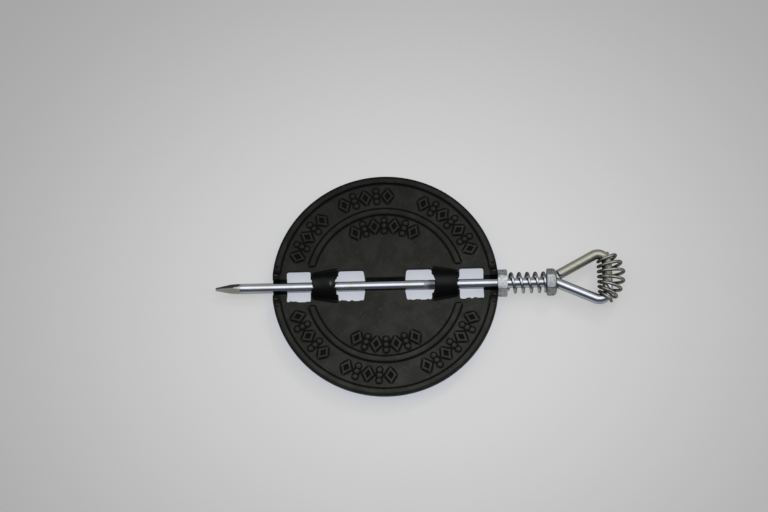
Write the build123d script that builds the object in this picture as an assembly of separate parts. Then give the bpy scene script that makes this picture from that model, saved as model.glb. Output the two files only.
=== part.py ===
from build123d import *
import os
from math import cos, pi, radians, sin, sqrt, tan

# A stovepipe damper: a cast-iron plate that turns inside a flue pipe on a steel spindle, with a sprung
# seat that clamps the pipe wall and a wire coil that keeps the handle cool.
# Sizes are in millimetres. The origin is the middle of the plate, on the spindle's axis.
# X runs along the spindle to the handle, and Z is up from the plate's decorated face.

# Spindle wire and its point
wire_diameter = 6.5
tip_reach = 21.0
point_length = 15.5
point_blunt_side = 1.6

# Plate
plate_diameter = 146.0
web_thickness = 3.6
face_height = 2.6
rim_width = 4.4
rim_relief = 1.2
rim_gap_width = 19.0
rim_step_width = 4.2
rim_step_depth = 0.6
seat_flat_depth = 0.5
band_width = 17.8
rib_width = 3.4
rib_relief = 1.0
rib_gap_width = 27.4
casting_draft = 0.45
casting_round = 0.5

# Windows, troughs and bridges that the spindle threads through
window_width = 20.6
window_corner = 1.2
rim_land = 9.6
outer_window_length = 15.4
bridge_length = 18.0
centre_web_length = 27.6
channel_clearance = 0.65
casting_wall = 2.7
centre_trough_width = 9.0
rim_trough_width = 10.0
bridge_inner_width = 22.0
bridge_outer_width = 15.6
bridge_inner_slope = 2.2
bridge_outer_slope = 1.75

# Ears pressed out of the wire, which lock in the notch of the right-hand bridge
ear_length = 7.6
ear_ramp = 4.0
ear_height = 9.0
ear_thickness = 5.6
ear_edge_thickness = 2.2
ear_notch_depth = 2.2
ear_seat_gap = 0.1
ear_side_gap = 0.3

# Ornament cast on the plate
relief_height = 0.8
lozenge_length = 10.2
lozenge_width = 7.4
lozenge_stroke = 1.7
pellet_diameter = 2.8
pellet_pitch = 3.6
band_pitch_angle = 7.0
right_group_angle = 43.5
middle_group_angle = 101.5
left_group_angle = 146.5
right_motif_count = 7
other_motif_count = 5
arc_pitch_angle = 9.4
arc_middle_angle = 90.0
arc_motif_count = 7
arc_gap = 2.7

# Spring seat, spring and thrust collar
hex_across_flats = 15.5
hex_chamfer = 0.7
hex_turn_angle = 9.0
seat_thickness = 6.0
seat_bore_clearance = 0.08
spring_length = 25.5
spring_wire = 1.7
spring_outer_diameter = 14.0
spring_turns = 5.0
spring_end_pitch = 0.4
spring_end_turns = 0.48
spring_end_gap = 0.05
collar_thickness = 6.2
collar_dome = 3.0

# Handle loop
handle_length = 32.9
handle_bend_inset = 0.9
handle_bend_radius = 8.0
handle_corner_radius = 5.7
lower_arm_angle = 24.1
upper_arm_angle = 28.3
arm_end_inset = 1.5
arm_end_height = 4.75

# Grip coil
coil_wire = 2.1
coil_clearance = 1.3
coil_turns = 6.85
coil_lead_turns = 0.4
coil_trail_turns = 0.45
coil_corner_overlap = 0.65
coil_end_loop = 9.2
coil_loop_swell = 7.2
coil_swell_bias = 0.88
coil_fan_angle = 36.0
coil_lean_angle = 8.0

# Places that follow from the sizes above
wire_radius = wire_diameter / 2
plate_radius = plate_diameter / 2
underside_z = face_height - web_thickness
rim_top_z = face_height + rim_relief
channel_depth = wire_radius + channel_clearance
outer_window_end = plate_radius - rim_land
bridge_outer_x = outer_window_end - outer_window_length
bridge_inner_x = bridge_outer_x - bridge_length
web_end_x = centre_web_length / 2
rib_outer_radius = plate_radius - rim_width - band_width
rib_inner_radius = rib_outer_radius - rib_width
band_radius = plate_radius - rim_width - band_width / 2
arc_radius = rib_inner_radius - arc_gap - lozenge_length / 2
shaft_start_x = -plate_radius - tip_reach
seat_x = plate_radius - seat_flat_depth
spring_x = seat_x + seat_thickness
collar_x = spring_x + spring_length
collar_end_x = collar_x + collar_thickness
bar_x = collar_end_x + handle_length
ear_end_x = bridge_inner_x + ear_notch_depth - ear_seat_gap
ear_start_x = ear_end_x - ear_length


def disc(radius, low, high):
    """A round slab about Z from one height to another."""
    return Pos(0, 0, (low + high) / 2) * Cylinder(radius, high - low)


def block(x, y, z):
    """A box from its three (low, high) pairs."""
    centre = Pos((x[0] + x[1]) / 2, (y[0] + y[1]) / 2, (z[0] + z[1]) / 2)
    return centre * Box(x[1] - x[0], y[1] - y[0], z[1] - z[0])


def rod(radius, x, z=0.0):
    """A round bar along X at a height z."""
    return Pos((x[0] + x[1]) / 2, 0, z) * Rot(0, 90, 0) * Cylinder(radius, x[1] - x[0])


def both_ends(shape):
    """A feature of the handle end together with its twin at the far end."""
    return [shape, mirror(shape, about=Plane.YZ)]


# Cast plate
def plate_disc():
    """The turned form of the casting: web, rim bead and inner rib."""
    bead_inner = plate_radius - rim_width
    outline = Polyline(
        (0, underside_z),
        (plate_radius - casting_round, underside_z),
        (plate_radius, underside_z + casting_round),
        (plate_radius, rim_top_z),
        (bead_inner + casting_draft, rim_top_z),
        (bead_inner, face_height),
        (rib_outer_radius, face_height),
        (rib_outer_radius - casting_draft, face_height + rib_relief),
        (rib_inner_radius + casting_draft, face_height + rib_relief),
        (rib_inner_radius, face_height),
        (0, face_height),
        close=True,
    )
    section = make_face(outline)
    tops = [v for v in section.vertices() if v.Y > face_height + rib_relief / 2]
    section = fillet(tops, casting_round)
    return revolve(Plane.XZ * section, axis=Axis.Z)


def trough_shell(x, width):
    """The half-round bulge of iron under a trough."""
    centre_z = width / 2 - channel_depth
    shell = rod(width / 2 + casting_wall, x, centre_z)
    reach = plate_radius
    return shell & block(x, (-reach, reach), (-reach, (underside_z + face_height) / 2))


def trough_cut(x, width):
    """The round-bottomed channel that the spindle lies in."""
    centre_z = width / 2 - channel_depth
    bottom = rod(width / 2, x, centre_z)
    return bottom + block(x, (-width / 2, width / 2), (centre_z, 4 * face_height))


def bridge_cone(inset):
    """The flared arch over the spindle, drawn in by an inset for its tunnel."""
    crown_z = channel_depth + casting_wall
    rise = crown_z - face_height
    sections = []
    for x, width in ((bridge_inner_x, bridge_inner_width), (bridge_outer_x, bridge_outer_width)):
        radius = ((width / 2) ** 2 + rise**2) / (2 * rise)
        sections.append(Plane.YZ.offset(x) * Pos(0, crown_z - radius) * Circle(radius - inset))
    return loft(sections)


def bridge_arch():
    """One bridge before its tunnel is cut, with sloped ends."""
    crown_z = channel_depth + casting_wall
    side = Polyline(
        (bridge_inner_x, underside_z),
        (bridge_inner_x, face_height),
        (bridge_inner_x + bridge_inner_slope, crown_z),
        (bridge_inner_x + bridge_inner_slope, crown_z + casting_wall),
        (bridge_outer_x - bridge_outer_slope, crown_z + casting_wall),
        (bridge_outer_x - bridge_outer_slope, crown_z),
        (bridge_outer_x, face_height),
        (bridge_outer_x, underside_z),
        close=True,
    )
    slab = extrude(Plane.XZ * make_face(side), plate_radius, both=True)
    return bridge_cone(0) & slab


def bridge_tunnel():
    """The space under a bridge, open to the underside of the plate."""
    half = window_width / 2
    x = (bridge_inner_x, bridge_outer_x)
    return bridge_cone(casting_wall) & block(x, (-half, half), (underside_z - plate_radius, plate_radius))


def window(x):
    """A window through the plate with rounded corners."""
    outline = block(x, (-window_width / 2, window_width / 2), (underside_z - 1, face_height + 1))
    return fillet(outline.edges().filter_by(Axis.Z), window_corner)


def ear_notch():
    """The notch in the right-hand bridge that an ear drops into."""
    half = ear_thickness / 2 + ear_side_gap
    top = ear_height / 2 + ear_side_gap
    return block((bridge_inner_x - 1, bridge_inner_x + ear_notch_depth), (-half, half), (0, top))


def frustum(length, width, low, high, draft):
    """A four-sided lozenge on the XY plane whose sides lean in by draft."""
    faces = []
    for z, inset in ((low, 0.0), (high, draft)):
        half_x = length / 2 - inset
        half_y = width / 2 - inset * width / length
        corners = Polyline((half_x, 0, z), (0, half_y, z), (-half_x, 0, z), (0, -half_y, z), close=True)
        faces.append(make_face(corners))
    return loft(faces, ruled=True)


def lozenge():
    """A raised hollow lozenge, long across the band."""
    low = face_height - casting_round
    high = face_height + relief_height
    shape = frustum(lozenge_length, lozenge_width, low, high, casting_draft)
    hole_length = lozenge_length * (1 - 2 * lozenge_stroke / lozenge_width)
    hole_width = lozenge_width - 2 * lozenge_stroke
    return shape - frustum(hole_length, hole_width, face_height, high + 1, -casting_draft)


def pellets():
    """Three raised pellets in a row across the band."""
    low = face_height - casting_round
    high = face_height + relief_height
    foot = (pellet_diameter + casting_draft) / 2
    dot = Cone(foot, foot - casting_draft, high - low)
    return [Pos(shift * pellet_pitch, 0, (low + high) / 2) * dot for shift in (-1, 0, 1)]


def motif_row(radius, middle, count, pitch):
    """Lozenges and pellets by turns along an arc, with a lozenge at both ends."""
    row = []
    for i in range(count):
        angle = middle + (i - (count - 1) / 2) * pitch
        pieces = pellets() if i % 2 else [lozenge()]
        row += [Rot(0, 0, angle) * Pos(radius, 0, 0) * piece for piece in pieces]
    return row


def ornament():
    """Three groups of motifs in the band and one arc inside the rib, on each side of the spindle."""
    groups = [(right_group_angle, right_motif_count), (middle_group_angle, other_motif_count)]
    groups.append((left_group_angle, other_motif_count))
    motifs = []
    for side in (1, -1):
        for middle, count in groups:
            motifs += motif_row(band_radius, side * middle, count, band_pitch_angle)
        motifs += motif_row(arc_radius, side * arc_middle_angle, arc_motif_count, arc_pitch_angle)
    return motifs


def gaps_in_relief():
    """What is taken off the bead and the rib where the spindle passes."""
    cuts = []
    rim = (bridge_outer_x + outer_window_length, plate_radius + 1)
    rib = (rib_inner_radius - 2 * rib_width, rib_outer_radius + rib_width)
    step_z = rim_top_z - rim_step_depth
    steps = ((rim_gap_width, face_height), (rim_gap_width + 2 * rim_step_width, step_z))
    for width, floor in steps:
        cuts += both_ends(block(rim, (-width / 2, width / 2), (floor, rim_top_z + 1)))
    cuts += both_ends(block(rib, (-rib_gap_width / 2, rib_gap_width / 2), (face_height, rim_top_z + 1)))
    return cuts


def damper_plate():
    """The whole casting."""
    rim_x = (outer_window_end, plate_radius - seat_flat_depth)
    web_x = (-web_end_x, web_end_x)
    plate = plate_disc() - gaps_in_relief()
    plate += ornament()
    plate += [trough_shell(web_x, centre_trough_width)]
    plate += both_ends(trough_shell(rim_x, rim_trough_width))
    plate -= both_ends(window((web_end_x, bridge_inner_x)))
    plate -= both_ends(window((bridge_outer_x, outer_window_end)))
    plate += both_ends(bridge_arch())
    plate -= both_ends(bridge_tunnel())
    plate -= [trough_cut((-web_end_x - 1, web_end_x + 1), centre_trough_width)]
    plate -= both_ends(trough_cut((outer_window_end - 1, plate_radius + 1), rim_trough_width))
    wide = (-plate_radius, plate_radius)
    plate -= both_ends(block((seat_x, plate_radius + 1), wide, wide))
    return plate - ear_notch()


# Spindle
def ear_section(x, half_z, half_y, edge):
    """A section of the wire where it is pressed flat, taller than it is wide."""
    points = [(half_y, 0), (half_y * 0.75, half_z * 0.5), (edge / 2, half_z), (-edge / 2, half_z)]
    points += [(-half_y * 0.75, half_z * 0.5), (-half_y, 0), (-half_y * 0.75, -half_z * 0.5)]
    points += [(-edge / 2, -half_z), (edge / 2, -half_z), (half_y * 0.75, -half_z * 0.5)]
    return make_face(Plane.YZ.offset(x) * Polyline(*points, close=True))


def ears():
    """The pressed stretch of the wire: a ramp, then a flat crest that ends in a square shoulder."""
    crest_x = ear_start_x + ear_ramp
    start = ear_section(ear_start_x, wire_radius, ear_thickness / 2, ear_edge_thickness)
    crest = ear_section(crest_x, ear_height / 2, ear_thickness / 2, ear_edge_thickness)
    end = ear_section(ear_end_x, ear_height / 2, ear_thickness / 2, ear_edge_thickness)
    return loft([start, crest], ruled=True) + loft([crest, end], ruled=True)


def point():
    """The four-sided point of the wire, blunt at its end."""
    tip_x = shaft_start_x - point_length
    base = Plane.YZ.offset(shaft_start_x) * Rectangle(wire_diameter, wire_diameter, rotation=45)
    blunt = Plane.YZ.offset(tip_x) * Rectangle(point_blunt_side, point_blunt_side, rotation=45)
    pyramid = loft([blunt, base], ruled=True)
    return pyramid & rod(wire_radius, (tip_x, shaft_start_x))


def handle_corners():
    """The handle's route as corner points: bend, lower corner, upper corner and the wire's end."""
    bend_x = collar_end_x - handle_bend_inset
    end_x = collar_end_x + arm_end_inset
    lower_y = -(bar_x - bend_x) * tan(radians(lower_arm_angle))
    upper_y = arm_end_height + (bar_x - end_x) * tan(radians(upper_arm_angle))
    return [(bend_x, 0), (bar_x, lower_y), (bar_x, upper_y), (end_x, arm_end_height)]


def handle_route():
    """The centreline of the handle from the straight shaft to the wire's end."""
    start = (collar_x, 0)
    radii = [handle_bend_radius, handle_corner_radius, handle_corner_radius]
    return FilletPolyline(start, *handle_corners(), radius=radii)


def spindle():
    """The one wire that is point, shaft, ears and handle."""
    handle = sweep(Plane.YZ.offset(collar_x) * Circle(wire_radius), path=handle_route())
    shaft = rod(wire_radius, (shaft_start_x, ear_start_x))
    neck = rod(wire_radius, (ear_end_x, collar_x))
    return point() + shaft + ears() + neck + handle


# Wound wires
def arc_middle(start, corner, end):
    """The middle of the arc whose end tangents meet at corner."""
    half = (end - start).length / 2
    centre = (start + end) * 0.5
    rise = (corner - centre).length
    sag = half**2 * (sqrt(1 + (rise / half) ** 2) - 1) / rise
    return centre + (corner - centre).normalized() * sag


def arc_pair(start, leaving, end, arriving):
    """The two tangent arcs between two points with given directions."""
    across = end - start
    turn = 1 - leaving.dot(arriving)
    along = across.dot(leaving + arriving)
    reach = (sqrt(along**2 + 2 * turn * across.dot(across)) - along) / (2 * turn)
    first = start + leaving * reach
    last = end - arriving * reach
    joint = (first + last) * 0.5
    near = Edge.make_three_point_arc(start, arc_middle(start, first, joint), joint)
    far = Edge.make_three_point_arc(joint, arc_middle(joint, last, end), end)
    return [near, far]


def wound_tube(place, first_turn, last_turn, diameter):
    """A tube along a curve given by turns, swept on pairs of arcs of a quarter turn each."""
    quarters = round((last_turn - first_turn) * 4)
    step = (last_turn - first_turn) / quarters
    nudge = step / 1000
    arcs = []
    for i in range(quarters):
        a = first_turn + i * step
        b = a + step
        leaving = (place(a + nudge) - place(a - nudge)).normalized()
        arriving = (place(b + nudge) - place(b - nudge)).normalized()
        arcs += arc_pair(place(a), leaving, place(b), arriving)
    direction = (place(first_turn + nudge) - place(first_turn - nudge)).normalized()
    section = Plane(origin=place(first_turn), z_dir=direction) * Circle(diameter / 2)
    tightest = min(arc.radius for arc in arcs)
    return sweep(section, path=Wire(arcs)), tightest


def least_gap(place, first_turn, last_turn, diameter):
    """The least gap between one turn of a wound tube and another, measured on points."""
    per_turn = 72
    count = int((last_turn - first_turn) * per_turn)
    points = [place(first_turn + i / per_turn) for i in range(count + 1)]
    apart = per_turn // 2
    spans = [(p - q).length for i, p in enumerate(points) for q in points[i + apart :]]
    return min(spans) - diameter


def spring_place(turn):
    """The spring's centreline, right-handed about X, with closer turns at both ends."""
    radius = (spring_outer_diameter - spring_wire) / 2
    start_x = spring_x + spring_wire / 2 + spring_end_gap
    run = spring_length - spring_wire - 2 * spring_end_gap
    closing = spring_end_turns
    pitch = (run - spring_end_pitch * closing) / (spring_turns - closing)

    def climb(t):
        opening = t**2 / (2 * closing) if t < closing else t - closing / 2
        return spring_end_pitch * t + (pitch - spring_end_pitch) * opening

    half = spring_turns / 2
    advance = climb(turn) if turn <= half else run - climb(spring_turns - turn)
    angle = 2 * pi * turn - pi
    return Vector(start_x + advance, radius * cos(angle), radius * sin(angle))


def coil_place(turn):
    """The grip coil's centreline: loops hung on the bar's inner side that swell and fan out."""
    inner_x = bar_x - wire_radius - coil_wire / 2 - coil_clearance
    corners = handle_corners()
    lower = radians(lower_arm_angle)
    upper = radians(upper_arm_angle)
    low_y = corners[1][1] + handle_corner_radius * (tan(lower) + 1 / cos(lower)) - coil_corner_overlap
    high_y = corners[2][1] - handle_corner_radius * (tan(upper) + 1 / cos(upper)) + coil_corner_overlap
    share = (turn + coil_lead_turns) / coil_turns
    fullness = sin(pi * max(share, 0.0) ** coil_swell_bias)
    radius = (coil_end_loop + coil_loop_swell * fullness) / 2
    fan = radians(coil_fan_angle) * (1 - 2 * share)
    out = radius * (1 - cos(2 * pi * turn))
    inner_y = high_y - (high_y - low_y) * turn / (coil_turns - coil_lead_turns - coil_trail_turns)
    up = radius * sin(2 * pi * turn)
    y = inner_y + out * sin(fan) - up * tan(radians(coil_lean_angle))
    return Vector(inner_x + out * cos(fan), y, up)


# Hexagonal pieces
def hexagon_bar(x):
    """A hexagonal bar along X whose upper flat is turned a little to the front."""
    outline = RegularPolygon(hex_across_flats / 2, 6, major_radius=False, rotation=hex_turn_angle)
    return extrude(Plane.YZ.offset(x[0]) * outline, x[1] - x[0])


def spring_seat():
    """The sliding hexagonal seat, chamfered at both faces."""
    corner = hex_across_flats / sqrt(3)
    left = seat_x
    right = seat_x + seat_thickness
    side = Polyline(
        (left, 0),
        (left, corner - hex_chamfer),
        (left + hex_chamfer / 2, corner),
        (right - hex_chamfer / 2, corner),
        (right, corner - hex_chamfer),
        (right, 0),
        close=True,
    )
    turned = revolve(Plane.XY * make_face(side), axis=Axis.X)
    bore = rod(wire_radius + seat_bore_clearance, (left - 1, right + 1))
    return (hexagon_bar((left, right)) & turned) - bore


def thrust_collar(wire):
    """The hexagonal collar with a rounded nose, bored to the wire that it grips."""
    corner = hex_across_flats / sqrt(3)
    side = Polyline(
        (collar_x, 0),
        (collar_x, corner - hex_chamfer),
        (collar_x + hex_chamfer / 2, corner),
        (collar_end_x, corner),
        (collar_end_x, 0),
        close=True,
    )
    section = make_face(side)
    nose = section.vertices().filter_by(lambda v: v.X > collar_end_x - 0.1 and v.Y > 0.1)
    turned = revolve(Plane.XY * fillet(nose, collar_dome), axis=Axis.X)
    return (hexagon_bar((collar_x, collar_end_x)) & turned) - wire


wire = spindle()
spring, spring_bend = wound_tube(spring_place, 0.0, spring_turns, spring_wire)
coil_first = -coil_lead_turns
coil_last = coil_turns - coil_lead_turns
coil, coil_bend = wound_tube(coil_place, coil_first, coil_last, coil_wire)
print("spring least gap", round(least_gap(spring_place, 0.0, spring_turns, spring_wire), 2))
print("spring tightest bend", round(spring_bend, 2))
print("coil least gap", round(least_gap(coil_place, coil_first, coil_last, coil_wire), 2))
print("coil tightest bend", round(coil_bend, 2))

nodes = {
    "damper_plate": damper_plate(),
    "spindle": wire,
    "spring_seat": spring_seat(),
    "spindle_spring": spring,
    "thrust_collar": thrust_collar(wire),
    "grip_coil": coil,
}

os.makedirs("parts", exist_ok=True)
for name, shape in nodes.items():
    shape.label = name
    export_step(shape, f"parts/{name}.step")
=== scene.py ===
"""Dresses a stovepipe damper for Blender 4.5 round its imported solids.

A painted cast plate lies flat, with a zinc plated wire spindle threaded through its troughs and
bridges, a sprung hexagonal seat, a collar with a rounded nose and a wire coil grip.
"""

import logging
import math
from dataclasses import dataclass
from enum import Enum
from functools import cache

import bmesh
import bpy
import numpy as np
from bpy.types import Material, Node, NodeSocket, NodeTree, Object
from mathutils import Matrix, Vector, noise

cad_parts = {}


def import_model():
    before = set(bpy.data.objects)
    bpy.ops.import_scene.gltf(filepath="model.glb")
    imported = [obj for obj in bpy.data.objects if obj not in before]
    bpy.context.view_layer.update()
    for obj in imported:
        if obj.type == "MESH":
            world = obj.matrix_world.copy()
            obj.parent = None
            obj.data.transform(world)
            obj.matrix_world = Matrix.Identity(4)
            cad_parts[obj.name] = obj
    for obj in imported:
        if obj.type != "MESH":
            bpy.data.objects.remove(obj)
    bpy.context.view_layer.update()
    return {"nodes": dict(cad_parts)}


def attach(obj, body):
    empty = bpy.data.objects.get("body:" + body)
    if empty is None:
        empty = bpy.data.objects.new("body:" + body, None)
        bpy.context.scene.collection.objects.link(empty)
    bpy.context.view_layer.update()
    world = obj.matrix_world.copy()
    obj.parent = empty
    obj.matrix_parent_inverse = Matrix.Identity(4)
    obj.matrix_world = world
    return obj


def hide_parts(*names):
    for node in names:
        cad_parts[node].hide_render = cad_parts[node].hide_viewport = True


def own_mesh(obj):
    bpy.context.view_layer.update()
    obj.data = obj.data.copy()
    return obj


LOG = logging.getLogger("damper")
MM = 0.001
MERGE_GAP = 1e-6
WIRE_SIDES = 20
Point = tuple[float, float, float]
Colour = tuple[float, float, float]
Pair = tuple[float, float]
# The start and end of a range, then the result at each
Ramp = tuple[float, float, float, float]
WHITE: Colour = (1.0, 1.0, 1.0)
# The colour of painted shade on zinc.
PAINTED_METAL_SHADE: Colour = (0.05, 0.05, 0.045)


class Body(Enum):
    """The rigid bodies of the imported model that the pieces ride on."""

    PLATE = "plate"
    SPINDLE = "spindle"
    SPRING = "spring"
    SEAT = "seat"


class Slot(Enum):
    """The record's material slots."""

    IRON = "black_iron"
    WIRE = "zinc_wire"
    HEX = "zinc_hex"
    SPRING = "spring_wire"


class Axis(Enum):
    """The ways in which a finish may change."""

    ALONG = 0
    ACROSS = 1


# Shader helpers
def paint(colour: object) -> object:
    """A colour with full alpha, or a socket as it is."""
    return colour if isinstance(colour, NodeSocket) else (*colour, 1.0)


class Graph:
    """Adds nodes to one node tree and joins them. Each value is plain or an output socket."""

    def __init__(self, tree: NodeTree) -> None:
        """Keeps the tree to fill."""
        self.tree = tree

    def fill(self, node: Node, values: dict) -> None:
        """Sets a node's inputs.

        Args:
            node: the node.
            values: input name or index to its value.
        """
        for key, value in values.items():
            socket = node.inputs[key]
            if isinstance(value, NodeSocket):
                self.tree.links.new(value, socket)
            else:
                socket.default_value = value

    def add(self, kind: str, values: dict | None = None, **settings: object) -> Node:
        """Adds one node.

        Args:
            kind: the node's type name.
            values: input name or index to its value.
            settings: attributes of the node itself.

        Returns:
            The new node.
        """
        node = self.tree.nodes.new(kind)
        for name, value in settings.items():
            setattr(node, name, value)
        self.fill(node, values or {})
        return node

    def math(self, operation: str, first: object, second: object = 0.0) -> NodeSocket:
        """A math node's result."""
        return self.add("ShaderNodeMath", {0: first, 1: second}, operation=operation).outputs[0]

    def times(self, first: object, second: object) -> NodeSocket:
        """The product of two numbers."""
        return self.math("MULTIPLY", first, second)

    def gap(self, value: object, middle: float) -> NodeSocket:
        """How far a number is from a middle."""
        return self.math("ABSOLUTE", self.math("SUBTRACT", value, middle))

    def vector(self, operation: str, first: object, second: object) -> NodeSocket:
        """A vector math node's vector."""
        values = {0: first, 1: second}
        return self.add("ShaderNodeVectorMath", values, operation=operation).outputs["Vector"]

    def length(self, vector: object) -> NodeSocket:
        """A vector's length."""
        return self.add("ShaderNodeVectorMath", {0: vector}, operation="LENGTH").outputs["Value"]

    def place(self, kind: str = "Object") -> NodeSocket:
        """A point's place on the piece, or another of the coordinates."""
        return self.add("ShaderNodeTexCoord").outputs[kind]

    def parts(self, vector: object) -> tuple[NodeSocket, ...]:
        """A vector's three numbers."""
        return tuple(self.add("ShaderNodeSeparateXYZ", {0: vector}).outputs)

    def noise(self, place: object, scale: object, detail: float) -> NodeSocket:
        """Noise from nought to one."""
        values = {"Vector": place, "Scale": scale, "Detail": detail}
        return self.add("ShaderNodeTexNoise", values).outputs["Fac"]

    def bump(self, height: object, depth: float, strength: float) -> NodeSocket:
        """The normal of a surface with fine relief, its depth in metres."""
        values = {"Height": height, "Distance": depth, "Strength": strength}
        return self.add("ShaderNodeBump", values).outputs["Normal"]

    def spread(self, value: object, ramp: Ramp) -> NodeSocket:
        """Maps a number smoothly from one range to another.

        Args:
            value: the number to map.
            ramp: start and end of its range, and the result at each.

        Returns:
            The output socket.
        """
        values = {"Value": value}
        values.update(zip(("From Min", "From Max", "To Min", "To Max"), ramp))
        node = self.add("ShaderNodeMapRange", values, interpolation_type="SMOOTHSTEP")
        return node.outputs["Result"]

    def over(self, colour: object, tone: object, *masks: object) -> NodeSocket:
        """Lays a tone over a colour.

        Args:
            colour: the colour below.
            tone: the colour above.
            masks: the tone's shares, which are multiplied.

        Returns:
            The output socket.
        """
        share = masks[0]
        for mask in masks[1:]:
            share = self.times(share, mask)
        values = {0: share, 6: paint(colour), 7: paint(tone)}
        return self.add("ShaderNodeMix", values, data_type="RGBA").outputs[2]


def new_group(
    name: str, inputs: tuple[str, ...], outputs: tuple[str, ...]
) -> tuple[Graph, object, Node]:
    """Starts a shader node group that takes and gives plain numbers.

    Args:
        name: the group's name.
        inputs: its inputs' names.
        outputs: its outputs' names.

    Returns:
        The graph, its inputs' sockets and its output node.
    """
    tree = bpy.data.node_groups.new(name, "ShaderNodeTree")
    for way, labels in (("INPUT", inputs), ("OUTPUT", outputs)):
        for label in labels:
            tree.interface.new_socket(label, in_out=way, socket_type="NodeSocketFloat")
    graph = Graph(tree)
    return graph, graph.add("NodeGroupInput").outputs, graph.add("NodeGroupOutput")


@cache
def grain_group() -> NodeTree:
    """The fine and coarse unevenness of a rough surface.

    Returns:
        A group with Fine and Coarse scales in, and Height and Patches out.
    """
    names = ("Fine", "Coarse"), ("Height", "Patches")
    graph, given, result = new_group("surface_grain", *names)
    place = graph.place()
    fine = graph.noise(place, given["Fine"], 3.0)
    coarse = graph.noise(place, given["Coarse"], 4.0)
    height = graph.math("ADD", graph.times(coarse, 0.6), fine)
    graph.fill(result, {"Height": height, "Patches": coarse})
    return graph.tree


@cache
def tarnish_group() -> NodeTree:
    """Cloudy patches and drawn streaks of zinc plate.

    Returns:
        A group with Patch and Streak scales in, and Cloud and Streaks out.
    """
    names = ("Patch", "Streak"), ("Cloud", "Streaks")
    graph, given, result = new_group("zinc_tarnish", *names)
    place = graph.place()
    drawn = graph.add("ShaderNodeMapping", {"Vector": place, "Scale": (0.06, 1.0, 1.0)})
    cloud = graph.noise(place, given["Patch"], 5.0)
    streaks = graph.noise(drawn.outputs["Vector"], given["Streak"], 3.0)
    graph.fill(result, {"Cloud": cloud, "Streaks": streaks})
    return graph.tree


def start_material(name: str) -> tuple[Material, Graph, Node]:
    """Starts a material with one Principled shader.

    Args:
        name: the material's name.

    Returns:
        The material, its graph and the shader node.
    """
    material = bpy.data.materials.new(name)
    material.use_nodes = True
    material.node_tree.nodes.clear()
    graph = Graph(material.node_tree)
    shader = graph.add("ShaderNodeBsdfPrincipled")
    graph.add("ShaderNodeOutputMaterial", {"Surface": shader.outputs[0]})
    return material, graph, shader


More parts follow.
